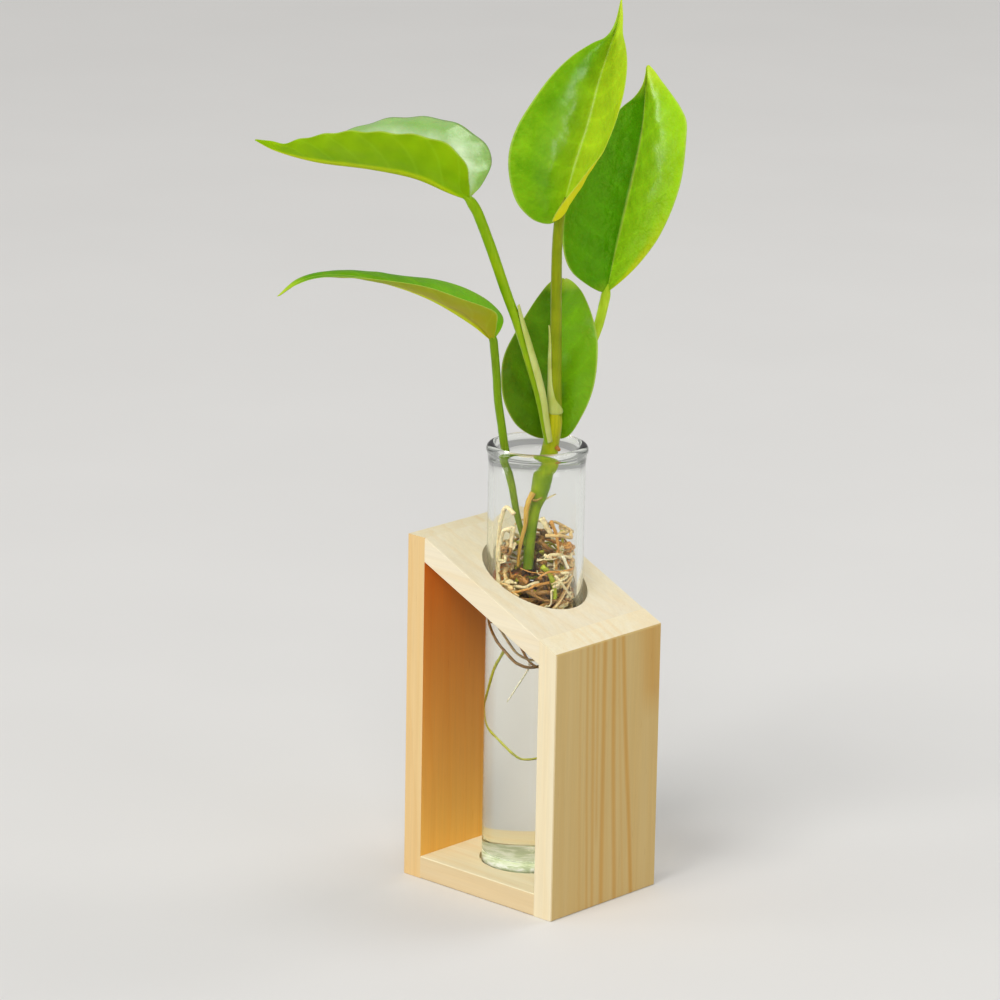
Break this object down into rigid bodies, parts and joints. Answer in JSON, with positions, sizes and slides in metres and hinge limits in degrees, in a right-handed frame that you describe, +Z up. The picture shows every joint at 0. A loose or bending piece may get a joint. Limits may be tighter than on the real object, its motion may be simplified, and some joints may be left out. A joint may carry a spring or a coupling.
{
  "type": "test tube vase",
  "caption": "Propagation vase: a wooden stand with a sloping top, a lift-out glass tube through it, and a rooted leaf cutting in the tube.",
  "frame": {"origin": "middle of the stand's underside, on the tube's axis", "axes": "+X along the open front face towards the short side, +Y from the front to the back, +Z up along the tube"},
  "size_m": [0.1053, 0.1167, 0.2882],
  "materials": {
    "pine": "sanded, unvarnished",
    "beech": "turned, unvarnished",
    "clear_glass": "clear, fire polished rim",
    "plant_stalk": "smooth, satin",
    "plant_leaf": "waxy, glossy above and matt below",
    "plant_root": "wet, fibrous"
  },
  "bodies": {
    "frame": {"base_board": "pine", "tall_side_board": "pine", "short_side_board": "pine", "sloped_top_board": "pine", "base_dowels": "beech", "top_dowels": "beech"},
    "tube": {"glass_tube": "clear_glass"},
    "cutting": {"main_stem": "plant_stalk", "left_leaf_stalk": "plant_stalk", "drooping_leaf_stalk": "plant_stalk", "tall_leaf_stalk": "plant_stalk", "right_leaf_stalk": "plant_stalk", "small_leaf_stalk": "plant_stalk", "leaf_sheaths": "plant_stalk", "left_leaf": "plant_leaf", "drooping_leaf": "plant_leaf", "tall_leaf": "plant_leaf", "right_leaf": "plant_leaf", "small_leaf": "plant_leaf", "root_bundle": "plant_root", "aerial_root": "plant_root"}
  },
  "joints": [
    {"name": "tube_lift", "type": "slide", "parent": "frame", "child": "tube", "axis": [0, 0, 1], "range_m": [0, 0.112]},
    {"name": "cutting_lift", "type": "slide", "parent": "tube", "child": "cutting", "axis": [0, 0, 1], "range_m": [0, 0.112]}
  ]
}
